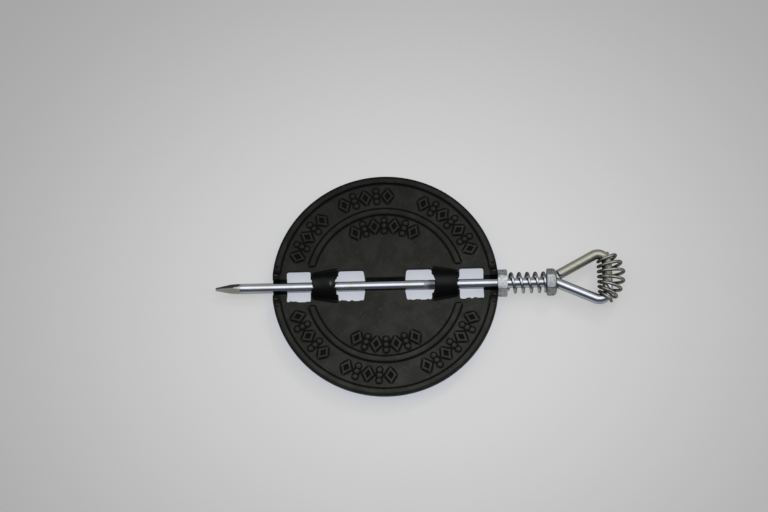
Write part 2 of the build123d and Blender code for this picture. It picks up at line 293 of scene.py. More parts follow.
# Finishes
@dataclass(frozen=True)
class BlackIron:
    """Matt black paint on a rough casting, with painted shade in its hollows, on the rim and on the
    bridges, and painted light on its crests, front, rim wall and bridge crowns.
    """

    name: str = "cast_black_paint"
    face: Colour = (0.0165, 0.0165, 0.0148)
    patch: Colour = (0.0245, 0.0245, 0.0220)
    patch_cloud: Ramp = (0.36, 0.68, 0.0, 1.0)
    fine_scale: float = 1500.0
    coarse_scale: float = 120.0
    speck: Colour = (0.036, 0.030, 0.019)
    speck_scale: float = 520.0
    speck_cloud: Ramp = (0.60, 0.72, 0.0, 0.75)
    # Painted highlight: a lighter colour on the relief's convex crests.
    crest_highlight: Colour = (0.0270, 0.0270, 0.0255)
    crest_height: Ramp = (-0.30, -0.08, 0.55, 0.0)
    # Painted light: the face is lighter towards the front and towards the handle.
    front_light_gain: float = 5.0
    handle_light_gain: float = 2.2
    # Painted shade: the colour laid in the hollows, along the rim's shoulder and beside the
    # troughs.
    hollow: Colour = (0.0008, 0.0008, 0.0008)
    hollow_reach: float = 0.0040
    hollow_air: Ramp = (0.45, 0.95, 0.0, 1.0)
    hollow_depth: Ramp = (0.020, 0.075, 0.0, 0.92)
    # Painted shade along the rim's outer shoulder.
    shoulder: float = 0.0720
    shoulder_width: Ramp = (0.0003, 0.0011, 0.6, 0.0)
    shoulder_height: Ramp = (0.0024, 0.0028, 0.0, 1.0)
    # Painted light on the rim's outer wall.
    wall: Colour = (0.055, 0.055, 0.052)
    wall_reach: Ramp = (0.0724, 0.0728, 0.0, 0.85)
    wall_height: Ramp = (0.0026, 0.0031, 1.0, 0.0)
    # Painted shade on the rim's ends beside the troughs.
    beside_reach: Ramp = (0.0668, 0.0684, 0.0, 1.0)
    beside_width: Ramp = (0.0100, 0.0125, 0.75, 0.0)
    # Painted highlight: small light spots at the ends of the rim's bead.
    bead_end_highlight: Colour = (0.050, 0.053, 0.060)
    bead_end_at: Pair = (0.0708, 0.0082)
    bead_end_reach: Ramp = (0.0004, 0.0013, 1.0, 0.0)
    bead_end_width: Ramp = (0.0002, 0.0010, 0.85, 0.0)
    # Painted shade: the bridges' darker black.
    bridge: Colour = (0.0015, 0.0016, 0.0015)
    bridge_height: Ramp = (0.0028, 0.0035, 0.0, 1.0)
    bridge_width: Ramp = (0.0111, 0.0117, 1.0, 0.0)
    bridge_end: Ramp = (0.0500, 0.0520, 1.0, 0.0)
    # Painted sheen: a lighter band along the bridges' crowns.
    crown: Colour = (0.0165, 0.0175, 0.0170)
    crown_middle: float = 0.0012
    crown_width: Ramp = (0.0, 0.0048, 1.0, 0.0)
    crown_cloud: Ramp = (0.30, 0.62, 0.45, 1.0)
    # Painted glint: one light spot near the inner end of the left bridge's crown.
    painted_glint: Colour = (0.085, 0.090, 0.098)
    painted_glint_at: Point = (-0.0349, 0.0007, 0.0062)
    painted_glint_shape: Point = (1.0, 0.55, 0.0)
    painted_glint_reach: Ramp = (0.0002, 0.0012, 0.9, 0.0)
    dullness: Ramp = (0.5, 1.1, 0.42, 0.62)
    gloss: float = 0.04
    bump_depth: float = 0.00022
    bump_strength: float = 0.7

    def rim(self, graph: Graph, colour: NodeSocket, place: NodeSocket) -> NodeSocket:
        """Paints shade on the rim's shoulder and on its ends beside the troughs, and paints light
        on its wall and highlights at the bead's ends.

        Args:
            graph: the material's graph.
            colour: the colour so far.
            place: the place on the plate.

        Returns:
            The colour.
        """
        x, y, z = graph.parts(place)
        squares = graph.math("ADD", graph.math("POWER", x, 2.0), graph.math("POWER", y, 2.0))
        reach = graph.math("SQRT", squares)
        # Painted shade along the rim's shoulder.
        shoulder = graph.spread(graph.gap(reach, self.shoulder), self.shoulder_width)
        colour = graph.over(colour, self.hollow, shoulder, graph.spread(z, self.shoulder_height))
        # Painted light on the rim's outer wall.
        wall = graph.spread(reach, self.wall_reach)
        colour = graph.over(colour, self.wall, wall, graph.spread(z, self.wall_height))
        # Painted shade on the rim's ends beside the troughs.
        across = graph.math("ABSOLUTE", y)
        beside = graph.spread(reach, self.beside_reach)
        colour = graph.over(colour, self.hollow, beside, graph.spread(across, self.beside_width))
        # Painted highlights at the bead's ends.
        end_reach, end_width = self.bead_end_at
        end = graph.spread(graph.gap(reach, end_reach), self.bead_end_reach)
        width = graph.spread(graph.gap(across, end_width), self.bead_end_width)
        return graph.over(colour, self.bead_end_highlight, end, width)

    def bridges(
        self, graph: Graph, colour: NodeSocket, place: NodeSocket, patches: NodeSocket
    ) -> NodeSocket:
        """Paints shade on the bridges, with a painted sheen along the crown and one painted glint.

        Args:
            graph: the material's graph.
            colour: the colour so far.
            place: the place on the plate.
            patches: the coarse grain.

        Returns:
            The colour.
        """
        x, y, z = graph.parts(place)
        # Painted sheen along the crown.
        crown = graph.spread(graph.gap(y, self.crown_middle), self.crown_width)
        tone = graph.over(self.bridge, self.crown, crown, graph.spread(patches, self.crown_cloud))
        # One painted glint on a bridge.
        off = graph.vector("SUBTRACT", place, self.painted_glint_at)
        off = graph.length(graph.vector("MULTIPLY", off, self.painted_glint_shape))
        tone = graph.over(tone, self.painted_glint, graph.spread(off, self.painted_glint_reach))
        # The bridges' painted shade, sheen and glint, laid where the bridges rise.
        raised = graph.spread(z, self.bridge_height)
        across = graph.spread(graph.math("ABSOLUTE", y), self.bridge_width)
        along = graph.spread(graph.math("ABSOLUTE", x), self.bridge_end)
        return graph.over(colour, tone, raised, across, along)

    def build(self) -> Material:
        """Makes the material."""
        material, graph, shader = start_material(self.name)
        scales = {"Fine": self.fine_scale, "Coarse": self.coarse_scale}
        grain = graph.add("ShaderNodeGroup", scales, node_tree=grain_group()).outputs
        place = graph.place()
        cloud = graph.spread(grain["Patches"], self.patch_cloud)
        colour = graph.over(self.face, self.patch, cloud)
        dots = graph.noise(place, self.speck_scale, 3.0)
        colour = graph.over(colour, self.speck, graph.spread(dots, self.speck_cloud))
        depth = graph.add("ShaderNodeAttribute", attribute_name="hollow").outputs["Fac"]
        # Painted highlight on the convex crests, where the skin stands above its smoothed self.
        colour = graph.over(colour, self.crest_highlight, graph.spread(depth, self.crest_height))
        # Painted light: lighter towards the front and towards the handle.
        x, y, _ = graph.parts(place)
        gain = graph.math("SUBTRACT", 1.0, graph.times(y, self.front_light_gain))
        gain = graph.math("ADD", gain, graph.times(x, self.handle_light_gain))
        colour = self.rim(graph, graph.vector("MULTIPLY", colour, gain), place)
        colour = self.bridges(graph, colour, place, grain["Patches"])
        # Painted shade in the hollows, from ambient occlusion and from the depth under the smoothed
        # skin.
        near = {"Distance": self.hollow_reach}
        shade = graph.add("ShaderNodeAmbientOcclusion", near, samples=16, only_local=True)
        open_air = graph.spread(shade.outputs["AO"], self.hollow_air)
        colour = graph.over(self.hollow, colour, open_air)
        colour = graph.over(colour, self.hollow, graph.spread(depth, self.hollow_depth))
        values = {
            "Base Color": colour,
            "Roughness": graph.spread(grain["Height"], self.dullness),
            "Normal": graph.bump(grain["Height"], self.bump_depth, self.bump_strength),
            "Specular IOR Level": self.gloss,
        }
        graph.fill(shader, values)
        return material


@dataclass(frozen=True)
class ZincPlate:
    """Zinc plate on wire, cloudy in patches, duller towards its edges and with painted shade on one
    side.
    """

    name: str
    bright: Colour
    dull: Colour
    cloud: Ramp = (0.42, 0.72, 0.0, 1.0)
    edge: Colour = (0.30, 0.30, 0.31)
    dullness: Ramp = (0.3, 0.7, 0.12, 0.24)
    patch_scale: float = 260.0
    streak_scale: float = 900.0
    bump_depth: float = 0.00002
    bump_strength: float = 0.5
    # Painted shade: the axis and the ramp along which one side is darkened.
    painted_shade_axis: Axis = Axis.ALONG
    painted_shade_side: Ramp | None = None

    def worked_and_shaded(
        self, graph: Graph, colour: NodeSocket, roughness: NodeSocket
    ) -> tuple[NodeSocket, NodeSocket]:
        """Paints shade on one side of the piece.

        Args:
            graph: the material's graph.
            colour: the colour so far.
            roughness: the roughness so far.

        Returns:
            The colour and the roughness.
        """
        if self.painted_shade_side:
            place = graph.parts(graph.place())[self.painted_shade_axis.value]
            colour = graph.over(colour, PAINTED_METAL_SHADE, graph.spread(place, self.painted_shade_side))
        return colour, roughness

    def build(self) -> Material:
        """Makes the material."""
        material, graph, shader = start_material(self.name)
        scales = {"Patch": self.patch_scale, "Streak": self.streak_scale}
        tarnish = graph.add("ShaderNodeGroup", scales, node_tree=tarnish_group()).outputs
        colour = graph.over(self.bright, self.dull, graph.spread(tarnish["Cloud"], self.cloud))
        roughness = graph.spread(tarnish["Streaks"], self.dullness)
        colour, roughness = self.worked_and_shaded(graph, colour, roughness)
        values = {
            "Base Color": colour,
            "Roughness": roughness,
            "Normal": graph.bump(tarnish["Streaks"], self.bump_depth, self.bump_strength),
            "Metallic": 1.0,
            "Specular Tint": paint(self.edge),
        }
        graph.fill(shader, values)
        return material


@dataclass(frozen=True)
class TurnedZinc(ZincPlate):
    """Dull and rougher zinc plate on turned hexagonal bar."""

    dullness: Ramp = (0.3, 0.7, 0.34, 0.52)
    patch_scale: float = 640.0
    bump_depth: float = 0.00009


@dataclass(frozen=True)
class DrawnZinc(ZincPlate):
    """Bright zinc plate on the drawn spindle, ground at its point, pressed at its ears and tinted
    on its handle, with painted shade on the ears, the point's facets facing +Y and the bar inside
    the coil.
    """

    patch_scale: float = 120.0
    arm: Colour = (0.34, 0.33, 0.255)
    arm_slant: float = 0.16
    arm_side: Ramp = (0.0207, 0.0233, 0.0, 0.85)
    arm_dullness: float = 0.30
    # The pressed ears are rougher, and their darker colour is painted shade.
    ear: Colour = (0.105, 0.11, 0.12)
    ear_middle: float = 0.0290
    ear_reach: Ramp = (0.0034, 0.0046, 0.9, 0.0)
    ear_crest: Ramp = (0.0262, 0.0294, 0.30, 1.0)
    ear_dullness: float = 0.36
    ground: Colour = (0.54, 0.53, 0.45)
    ground_end: Ramp = (-0.0945, -0.0925, 1.0, 0.0)
    ground_share: float = 0.7
    ground_dullness: float = 0.42
    # Painted shade on the point's facets that face +Y.
    facet_shade: Colour = (0.055, 0.055, 0.05)
    facet_facing: Ramp = (0.25, 0.5, 0.0, 0.95)
    # Painted shade on the bar inside the coil.
    bar_middle: float = 0.0033
    bar_half: Ramp = (0.0110, 0.0140, 1.0, 0.0)
    bar_side: Ramp = (0.1400, 0.1440, 0.8, 0.0)
    bar_start: Ramp = (0.1385, 0.1395, 0.0, 1.0)

    def worked_and_shaded(
        self, graph: Graph, colour: NodeSocket, roughness: NodeSocket
    ) -> tuple[NodeSocket, NodeSocket]:
        """Tints the upper arm, dulls the ears and the point, and paints shade on the ears, on the
        point's facets facing +Y and on the bar inside the coil.

        Args:
            graph: the material's graph.
            colour: the colour so far.
            roughness: the roughness so far.

        Returns:
            The colour and the roughness.
        """
        x, y, _ = graph.parts(graph.place())
        arm = graph.spread(graph.math("ADD", graph.times(x, self.arm_slant), y), self.arm_side)
        colour = graph.over(colour, self.arm, arm)
        # The ears: rougher, and darker as painted shade.
        ear = graph.spread(graph.gap(x, self.ear_middle), self.ear_reach)
        colour = graph.over(colour, self.ear, ear, graph.spread(x, self.ear_crest))
        ground = graph.spread(x, self.ground_end)
        colour = graph.over(colour, self.ground, ground, self.ground_share)
        # Painted shade on the point's facets that face +Y.
        facing = graph.spread(graph.parts(graph.place("Normal"))[1], self.facet_facing)
        colour = graph.over(colour, self.facet_shade, ground, facing)
        # Painted shade on the bar inside the coil.
        across = graph.spread(graph.gap(y, self.bar_middle), self.bar_half)
        along = graph.spread(x, self.bar_side), graph.spread(x, self.bar_start)
        colour = graph.over(colour, PAINTED_METAL_SHADE, across, *along)
        dulled = (arm, self.arm_dullness), (ear, self.ear_dullness), (ground, self.ground_dullness)
        for mask, more in dulled:
            roughness = graph.math("ADD", roughness, graph.times(mask, more))
        return colour, roughness


@dataclass(frozen=True)
class PaleFloor:
    """Plain pale paper with a painted pool of light, brightest near the object, and a painted
    bluish shadow under the plate, that shows part of its colour by itself.
    """

    name: str = "pale_paper"
    # Painted pool of light: brightest near the object, falling off towards the far colour.
    near: float = 0.657
    far: float = 0.366
    own_share: float = 0.76
    centre: Pair = (0.0162, -0.0140)
    reach: Pair = (0.4032, 0.3520)
    fade: Ramp = (0.0, 1.0, 0.0, 1.0)
    # Painted shadow: a bluish tint on the paper under the plate.
    painted_plate_shadow: Colour = (0.955, 0.995, 1.115)
    plate_edge: Ramp = (0.069, 0.081, 1.0, 0.0)

    def build(self) -> Material:
        """Makes the material."""
        material, graph, shader = start_material(self.name)
        place = graph.place()
        scale = (1 / self.reach[0], 1 / self.reach[1], 0.0)
        location = (-self.centre[0] * scale[0], -self.centre[1] * scale[1], 0.0)
        values = {"Vector": place, "Location": location, "Scale": scale}
        moved = graph.add("ShaderNodeMapping", values).outputs["Vector"]
        # Painted pool of light, fading from near to far.
        away = graph.spread(graph.length(moved), self.fade)
        lit, own = (
            graph.over((self.near * share,) * 3, (self.far * share,) * 3, away)
            for share in (1.0 - self.own_share, self.own_share)
        )
        # Painted bluish shadow under the plate.
        below = graph.spread(graph.length(place), self.plate_edge)
        own = graph.vector("MULTIPLY", own, graph.over(WHITE, self.painted_plate_shadow, below))
        path = graph.add("ShaderNodeLightPath").outputs
        seen = graph.math("MAXIMUM", path["Is Camera Ray"], path["Is Glossy Ray"])
        seen = graph.math("MAXIMUM", seen, path["Is Transmission Ray"])
        values = {
            "Base Color": lit,
            "Emission Color": own,
            "Emission Strength": seen,
            "Roughness": 0.9,
            "Specular IOR Level": 0.0,
        }
        graph.fill(shader, values)
        return material


# Mesh helpers
def circle(count: int) -> list[float]:
    """Angles evenly round a circle, in radians."""
    return [2 * math.pi * j / count for j in range(count)]


def soft_least(first: float, second: float, power: float) -> float:
    """The lesser of two numbers, nearer to a plain least at a higher power."""
    return (first**-power + second**-power) ** (-1 / power)


def rows_of(items: object, name: str, width: int, kind: type = float) -> np.ndarray:
    """Reads one property of a mesh's vertices or edges.

    Args:
        items: the vertices or edges.
        name: the property.
        width: how many numbers each has.
        kind: the numbers' type.

    Returns:
        A row of numbers for each.
    """
    found = np.empty(len(items) * width, dtype=kind)
    items.foreach_get(name, found)
    return found.reshape(-1, width)


def linked(name: str, data: bpy.types.ID) -> Object:
    """Puts data in the scene as an object at the origin.

    Args:
        name: the object's name.
        data: its mesh, lamp or camera.

    Returns:
        The new object.
    """
    made = bpy.data.objects.new(name, data)
    bpy.context.scene.collection.objects.link(made)
    return made


def mesh_object(name: str, vertices: list, faces: list, material: Material) -> Object:
    """Makes a smooth mesh object at the origin.

    Args:
        name: the piece's name.
        vertices: points in metres.
        faces: lists of vertex numbers.
        material: its finish.

    Returns:
        The new object, linked to the scene.
    """
    mesh = bpy.data.meshes.new(name)
    mesh.from_pydata([tuple(v) for v in vertices], [], faces)
    mesh.materials.append(material)
    made = linked(name, mesh)
    tidy_mesh(made)
    return made


def tidy_mesh(made: Object, sharp_angle: float = 40.0) -> None:
    """Merges doubles, points the faces outwards and shades smoothly up to an angle.

    Args:
        made: the object whose mesh is tidied.
        sharp_angle: edges over this many degrees stay sharp.
    """
    work = bmesh.new()
    work.from_mesh(made.data)
    bmesh.ops.remove_doubles(work, verts=work.verts, dist=MERGE_GAP)
    bmesh.ops.recalc_face_normals(work, faces=work.faces)
    most = math.radians(sharp_angle)
    for face in work.faces:
        face.smooth = True
    for edge in work.edges:
        edge.smooth = len(edge.link_faces) == 2 and edge.calc_face_angle(0.0) < most
    work.to_mesh(made.data)
    work.free()


def lofted(rings: list[list[Vector]], closed_ends: bool = True) -> tuple[list, list]:
    """Joins rings of equal length into a skin.

    Args:
        rings: rings of points in order.
        closed_ends: whether both ends are closed with a fan round a middle point.

    Returns:
        The vertices and the faces.
    """
    count = len(rings[0])
    vertices = [point for ring in rings for point in ring]
    faces = []
    for start in range(0, (len(rings) - 1) * count, count):
        for j in range(count):
            k = (j + 1) % count
            faces.append([start + j, start + k, start + count + k, start + count + j])
    if closed_ends:
        for start in (0, (len(rings) - 1) * count):
            middle = len(vertices)
            vertices.append(sum(vertices[start : start + count], Vector()) / count)
            faces += [[start + j, start + (j + 1) % count, middle] for j in range(count)]
    return vertices, faces


def settle(made: Object, body: Body, node: str) -> None:
    """Seats a finished piece on its body and hides the solid that it stands for.

    Args:
        made: the piece.
        body: the body that it rides on.
        node: the solid that it replaces.
    """
    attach(made, body.value)
    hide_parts(node)
    LOG.info("%s: %d faces, rides on %s", made.name, len(made.data.polygons), body.value)


def plain_mesh(made: Object) -> None:
    """Turns an object's modifiers into a plain mesh.

    Args:
        made: the object.
    """
    graph = bpy.context.evaluated_depsgraph_get()
    mesh = bpy.data.meshes.new_from_object(made.evaluated_get(graph))
    made.modifiers.clear()
    made.data = mesh


@cache
def wire_sweep() -> NodeTree:
    """A Geometry Nodes tree that sweeps a round wire along the piece's own edges.

    Returns:
        A tree with the wire's radius, sides, rounded ends and finish as inputs.
    """
    kinds = {"Geometry": "Geometry", "Wire Radius": "Float", "Sides": "Int"}
    kinds.update({"Start Rounding": "Float", "End Rounding": "Float", "Finish": "Material"})
    tree = bpy.data.node_groups.new("wire_sweep", "GeometryNodeTree")
    for label, kind in kinds.items():
        tree.interface.new_socket(label, in_out="INPUT", socket_type=f"NodeSocket{kind}")
    tree.interface.new_socket("Geometry", in_out="OUTPUT", socket_type="NodeSocketGeometry")
    graph = Graph(tree)
    given = graph.add("NodeGroupInput").outputs
    line = graph.add("GeometryNodeMeshToCurve", {"Mesh": given["Geometry"]}).outputs["Curve"]
    values = {"Resolution": given["Sides"], "Radius": given["Wire Radius"]}
    profile = graph.add("GeometryNodeCurvePrimitiveCircle", values).outputs["Curve"]
    along = graph.add("GeometryNodeSplineParameter").outputs["Length"]
    whole_length = graph.add("GeometryNodeSplineLength").outputs["Length"]
    near = 1.0
    for way, label in ((along, "Start"), (graph.math("SUBTRACT", whole_length, along), "End")):
        rounding = graph.math("MAXIMUM", given[f"{label} Rounding"], 1e-6)
        near = graph.math("MINIMUM", graph.math("DIVIDE", way, rounding), near)
    short = graph.math("SUBTRACT", 1.0, near)
    round_off = graph.math("SQRT", graph.math("SUBTRACT", 1.0, graph.times(short, short)))
    values = {"Curve": line, "Radius": graph.math("MAXIMUM", round_off, 0.25)}
    shaped = graph.add("GeometryNodeSetCurveRadius", values).outputs["Curve"]
    values = {"Curve": shaped, "Profile Curve": profile, "Fill Caps": True}
    skin = graph.add("GeometryNodeCurveToMesh", values).outputs["Mesh"]
    whole = graph.add("GeometryNodeRealizeInstances", {"Geometry": skin}).outputs["Geometry"]
    values = {"Geometry": whole, "Material": given["Finish"]}
    dressed = graph.add("GeometryNodeSetMaterial", values).outputs["Geometry"]
    graph.add("NodeGroupOutput", {"Geometry": dressed})
    return tree


def swept_wire(
    name: str, line: list[Vector], wire: float, material: Material, rounded: tuple[bool, bool]
) -> Object:
    """A round wire along a line of points.

    Args:
        name: the piece's name.
        line: points in metres.
        wire: the wire's diameter in millimetres.
        material: its finish.
        rounded: whether its start and its end are rounded off.

    Returns:
        The piece as a plain mesh.
    """
    mesh = bpy.data.meshes.new(name)
    mesh.from_pydata([tuple(p) for p in line], [(i, i + 1) for i in range(len(line) - 1)], [])
    made = linked(name, mesh)
    sweep = made.modifiers.new("sweep", "NODES")
    sweep.node_group = wire_sweep()
    given = {"Wire Radius": wire / 2 * MM, "Sides": WIRE_SIDES, "Finish": material}
    given["Start Rounding"], given["End Rounding"] = (wire * MM * end for end in rounded)
    for item in sweep.node_group.interface.items_tree:
        if item.in_out == "INPUT" and item.name in given:
            sweep[item.identifier] = given[item.name]
    plain_mesh(made)
    tidy_mesh(made, 50.0)
    return made


# Pieces
@dataclass
class CastPlate:
    """The iron casting: edges softened as sand leaves them, with rough flash in its windows."""

    voxel: float = 0.40
    quick_voxel: float = 0.6
    rounding: int = 3
    most_triangles: int = 190000
    window_half: float = 10.3
    windows: tuple[Pair, ...] = ((-63.4, -48.0), (-30.0, -13.8), (13.8, 30.0), (48.0, 63.4))
    flash_depth: float = 1.0
    flash_rise: float = 0.25
    flash_ends: float = 2.0
    flash_heights: Pair = (-1.3, 2.9)
    flash_coarse: Point = (0.38, 3.0, 0.25)
    flash_fine: Point = (1.14, 9.0, 0.8)
    flash_fine_share: float = 0.35
    bridge_ends: Pair = (30.8, 47.2)
    bridge_half: float = 10.6
    bridge_foot: float = 2.7
    waists: Pair = (1.1, 0.6)
    tear: float = 0.7
    tear_reach: float = 2.6
    tear_coarse: Point = (0.1, 0.45, 5.0)
    tear_fine: Point = (0.3, 1.3, 1.0)
    tear_fine_share: float = 0.5
    hollow_steps: int = 19
    quick_steps: int = 4
    kept_above: float = 2.0
    kept_depth: float = 0.022
    kept_weight: float = 1e-7
    face: float = 2.6
    face_skin: float = 0.02
    rib_middle: float = 49.2
    rib_half: float = 1.9
    rib_height: float = 1.0
    rib_gap: float = 12.0
    rim_crest: float = 70.5
    rim_inner: float = 2.1
    rim_outer: float = 2.5
    rim_limit: float = 1.2
    rim_height: float = 1.2
    rim_droop: float = 0.75
    trough_half: float = 13.9
    trough_floor: float = -4.6
    trough_walls: tuple[float, ...] = (1.5, 3.2, 4.6, 6.5)
    trough_shift: Pair = (0.9, 0.45)
    web_worn: float = 1.1
    web_ends: Point = (9.0, 13.8, 14.6)
    web_sides: Pair = (2.0, 9.5)

    def flash(self, made: Object) -> None:
        """Pushes ragged flash from the windows' near walls into the windows.

        Args:
            made: the remeshed casting.
        """
        lowest, highest = self.flash_heights
        for vertex in made.data.vertices:
            x, y, z = (c / MM for c in vertex.co)
            reach = abs(y + self.window_half)
            if reach > 1.0 or not lowest < z < highest:
                continue
            for low, high in self.windows:
                if not low < x < high:
                    continue
                ends = min(1.0, (x - low) / self.flash_ends, (high - x) / self.flash_ends)
                coarse, fine = (
                    noise.noise(Vector((x * along, row, z * up)))
                    for along, row, up in (self.flash_coarse, self.flash_fine)
                )
                push = max(0.0, coarse + self.flash_fine_share * fine + self.flash_rise)
                vertex.co.y += push * self.flash_depth * ends * (1.0 - reach) * MM

    def rounded_beads(self, made: Object) -> None:
        """Rounds the rib and the rim, and wears the middle trough and the centre web.

        Args:
            made: the remeshed casting.
        """
        x, y, z = (rows_of(made.data.vertices, "co", 3) / MM).T.copy()
        reach = np.hypot(x, y)
        raised = z > self.face + self.face_skin
        off = np.clip(np.abs(reach - self.rib_middle) / self.rib_half, 0.0, 1.0)
        bead = self.face + self.rib_height * np.sqrt(1.0 - off**2)
        rib = (off < 1.0) & raised & (np.abs(y) > self.rib_gap)
        z = np.where(rib, np.minimum(z, bead), z)
        inner = np.clip((self.rim_crest - reach) / self.rim_inner, 0.0, 1.0)
        outer = np.clip((reach - self.rim_crest) / self.rim_outer, 0.0, self.rim_limit)
        inside = self.face + self.rim_height * np.sqrt(1.0 - inner**2)
        outside = self.face + self.rim_height - self.rim_droop * outer**2
        bead = np.where(reach < self.rim_crest, inside, outside)
        rim = raised & (reach > self.rim_crest - self.rim_inner)
        z = np.where(rim, np.minimum(z, bead), z)
        shift = np.where(y < 0.0, *self.trough_shift)
        shift = shift * np.interp(np.abs(y), self.trough_walls, (0.0, 1.0, 1.0, 0.0))
        y = np.where((np.abs(x) < self.trough_half) & (z > self.trough_floor), y + shift, y)
        worn = np.interp(np.abs(x), self.web_ends, (0.0, self.web_worn, 0.0))
        x = x - np.sign(x) * worn * np.interp(np.abs(y), self.web_sides, (1.0, 0.0))
        made.data.vertices.foreach_set("co", (np.stack((x, y, z), axis=1) * MM).ravel())
        made.data.update()

    def torn_ends(self, made: Object) -> None:
        """Makes the bridges' ends uneven, as the mould left them.

        Args:
            made: the remeshed casting.
        """
        along, across, row = self.tear_coarse
        fine_along, fine_across, fine_row = self.tear_fine
        for vertex in made.data.vertices:
            x, y, z = (c / MM for c in vertex.co)
            if abs(y) > self.bridge_half or z < self.bridge_foot:
                continue
            for edge, waist, inward in zip(self.bridge_ends, self.waists, (1.0, -1.0)):
                near = max(0.0, 1.0 - abs(abs(x) - edge) / self.tear_reach)
                if near > 0.0:
                    bow = inward * waist * (1.0 - (y / self.bridge_half) ** 2)
                    vertex.co.x += math.copysign(1.0, x) * bow * near * MM
                    rag = noise.noise(Vector((x * along + edge, y * across, row)))
                    fine = noise.noise(Vector((x * fine_along, y * fine_across, fine_row)))
                    rag += self.tear_fine_share * fine
                    vertex.co.x += rag * self.tear * near * MM

    def store_hollows(self, made: Object) -> None:
        """Stores how far each point lies under the smoothed skin, in millimetres, as hollow.

        Args:
            made: the remeshed casting.
        """
        mesh = made.data
        count = len(mesh.vertices)
        points = rows_of(mesh.vertices, "co", 3)
        edges = rows_of(mesh.edges, "vertices", 2, np.int64)
        here = edges.T.ravel()
        there = edges[:, ::-1].T.ravel()
        neighbours = np.maximum(np.bincount(here, minlength=count), 1)
        smooth = points
        for _ in range(self.hollow_steps):
            sums = [np.bincount(here, smooth[there, axis], count) for axis in range(3)]
            smooth = 0.5 * smooth + 0.5 * np.stack(sums, axis=1) / neighbours[:, None]
        depth = ((smooth - points) * rows_of(mesh.vertices, "normal", 3)).sum(axis=1) / MM
        mesh.attributes.new("hollow", "FLOAT", "POINT").data.foreach_set("value", depth)
        kept = (np.abs(depth) > self.kept_depth) & (points[:, 2] > self.kept_above * MM)
        shaped = np.flatnonzero(kept)
        made.vertex_groups.new(name="shaped").add(shaped.tolist(), 1.0, "REPLACE")

    def thinned(self, made: Object) -> None:
        """Thins the skin to the most triangles, first where it is plain.

        Args:
            made: the shaped casting.
        """
        triangles = 2 * len(made.data.polygons)
        if triangles > self.most_triangles:
            thin = made.modifiers.new("thin", "DECIMATE")
            thin.ratio = self.most_triangles / triangles
            thin.vertex_group = "shaped"
            thin.vertex_group_factor = self.kept_weight
            thin.invert_vertex_group = True
            plain_mesh(made)
        made.vertex_groups.clear()

    def build(self, node: Object, material: Material) -> None:
        """Makes the casting from a merged copy of its solid.

        Args:
            node: the solid's object.
            material: its finish.
        """
        made = linked("cast_plate", node.data.copy())
        work = bmesh.new()
        work.from_mesh(made.data)
        bmesh.ops.remove_doubles(work, verts=work.verts, dist=2 * MERGE_GAP)
        work.to_mesh(made.data)
        work.free()
        if made.data.has_custom_normals:
            with bpy.context.temp_override(object=made, active_object=made):
                bpy.ops.mesh.customdata_custom_splitnormals_clear()
        remesh = made.modifiers.new("remesh", "REMESH")
        remesh.mode = "VOXEL"
        remesh.voxel_size = self.voxel * MM
        soften = made.modifiers.new("soften", "SMOOTH")
        soften.factor = 0.5
        soften.iterations = self.rounding
        plain_mesh(made)
        self.rounded_beads(made)
        self.flash(made)
        self.torn_ends(made)
        self.store_hollows(made)
        self.thinned(made)
        for polygon in made.data.polygons:
            polygon.use_smooth = True
        made.data.materials.clear()
        made.data.materials.append(material)
        settle(made, Body.PLATE, "damper_plate")


